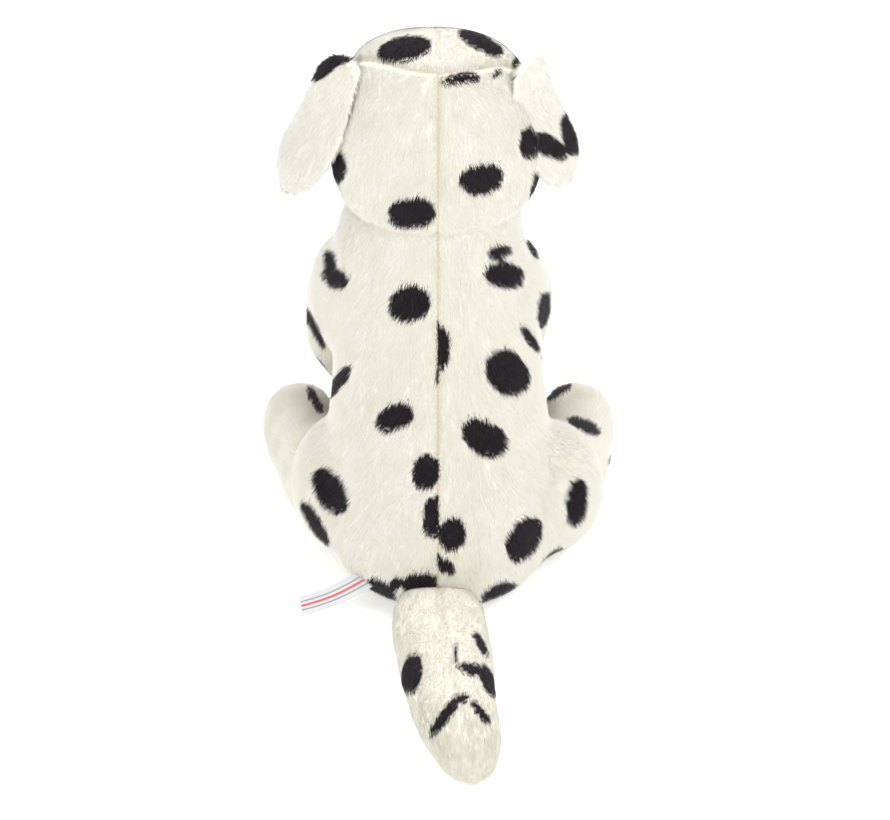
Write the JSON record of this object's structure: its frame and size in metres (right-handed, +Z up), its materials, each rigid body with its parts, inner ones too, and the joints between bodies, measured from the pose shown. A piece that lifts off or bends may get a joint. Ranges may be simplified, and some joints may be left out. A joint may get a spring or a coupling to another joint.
{
  "type": "plush dog",
  "caption": "Sitting plush dog in short white plush with black spots: turning and nodding head, hanging ears, sewn legs, tail and a blank ribbon label",
  "frame": {"origin": "on the flat face under the seat, in the plane of symmetry, 12 mm behind the neck's axis", "axes": "+Z up, -Y the way the dog faces, +X the dog's left"},
  "size_m": [0.1912, 0.3507, 0.291],
  "materials": {
    "plush": "short pile plush, white with black spots",
    "filling": "loose polyester fibre",
    "pellets": "cloth bag of plastic pellets",
    "black_plastic": "glossy",
    "washer_plastic": "matte",
    "thread": "embroidery thread",
    "ribbon": "woven satin, blank"
  },
  "bodies": {
    "torso": {"torso_back_left": "plush", "torso_back_right": "plush", "torso_chest": "plush", "torso_seat": "plush", "pellet_bag": "pellets", "torso_filling": "filling"},
    "neck": {"neck_collar": "plush", "neck_filling": "filling"},
    "head": {"head_back_left": "plush", "head_back_right": "plush", "forehead": "plush", "cheek_left": "plush", "cheek_right": "plush", "chin": "plush", "head_filling": "filling", "eye_left": "black_plastic", "eye_washer_left": "washer_plastic", "eye_right": "black_plastic", "eye_washer_right": "washer_plastic", "nose": "black_plastic", "nose_washer": "washer_plastic", "mouth_stitch": "thread"},
    "ear_left": {"ear_left_outer": "plush", "ear_left_inner": "plush"},
    "ear_right": {"ear_right_outer": "plush", "ear_right_inner": "plush"},
    "front_leg_left": {"front_leg_left_outer": "plush", "front_leg_left_inner": "plush", "front_sole_left": "plush", "front_leg_left_filling": "filling"},
    "front_leg_right": {"front_leg_right_outer": "plush", "front_leg_right_inner": "plush", "front_sole_right": "plush", "front_leg_right_filling": "filling"},
    "hind_leg_left": {"hind_leg_left_outer": "plush", "hind_leg_left_inner": "plush", "hind_sole_left": "plush", "hind_leg_left_filling": "filling"},
    "hind_leg_right": {"hind_leg_right_outer": "plush", "hind_leg_right_inner": "plush", "hind_sole_right": "plush", "hind_leg_right_filling": "filling"},
    "tail": {"tail_left": "plush", "tail_right": "plush", "tail_filling": "filling"},
    "label": {"label_ribbon": "ribbon"}
  },
  "joints": [
    {"name": "head_turn", "type": "hinge", "parent": "torso", "child": "neck", "pos_m": [0, -0.012, 0.196], "axis": [0, 0, 1], "range_deg": [-45, 45], "stiffness_Nm_per_rad": 0.3},
    {"name": "head_nod", "type": "hinge", "parent": "neck", "child": "head", "pos_m": [0, -0.012, 0.196], "axis": [1, 0, 0], "range_deg": [-12, 14], "stiffness_Nm_per_rad": 0.9},
    {"name": "ear_left_lift", "type": "hinge", "parent": "head", "child": "ear_left", "pos_m": [0.0465, -0.014, 0.28], "axis": [0, -1, 0], "range_deg": [0, 110]},
    {"name": "ear_right_lift", "type": "hinge", "parent": "head", "child": "ear_right", "pos_m": [-0.0465, -0.014, 0.28], "axis": [0, 1, 0], "range_deg": [0, 110]},
    {"name": "front_leg_left_swing", "type": "hinge", "parent": "torso", "child": "front_leg_left", "pos_m": [0.044, -0.034, 0.132], "axis": [-1, 0, 0], "range_deg": [0, 60], "stiffness_Nm_per_rad": 0.06},
    {"name": "front_leg_right_swing", "type": "hinge", "parent": "torso", "child": "front_leg_right", "pos_m": [-0.044, -0.034, 0.132], "axis": [-1, 0, 0], "range_deg": [0, 60], "stiffness_Nm_per_rad": 0.06},
    {"name": "hind_leg_left_lift", "type": "hinge", "parent": "torso", "child": "hind_leg_left", "pos_m": [0.068, -0.012, 0.029], "axis": [-1, 0, 0], "range_deg": [0, 16], "stiffness_Nm_per_rad": 0.06},
    {"name": "hind_leg_right_lift", "type": "hinge", "parent": "torso", "child": "hind_leg_right", "pos_m": [-0.068, -0.012, 0.029], "axis": [-1, 0, 0], "range_deg": [0, 16], "stiffness_Nm_per_rad": 0.06},
    {"name": "tail_lift", "type": "hinge", "parent": "torso", "child": "tail", "pos_m": [0, 0.092, 0.017], "axis": [1, 0, 0], "range_deg": [0, 25], "stiffness_Nm_per_rad": 0.05},
    {"name": "label_flap", "type": "hinge", "parent": "torso", "child": "label", "pos_m": [0.041, 0.077, 0.0133], "axis": [0, -1, 0], "range_deg": [0, 30]}
  ]
}
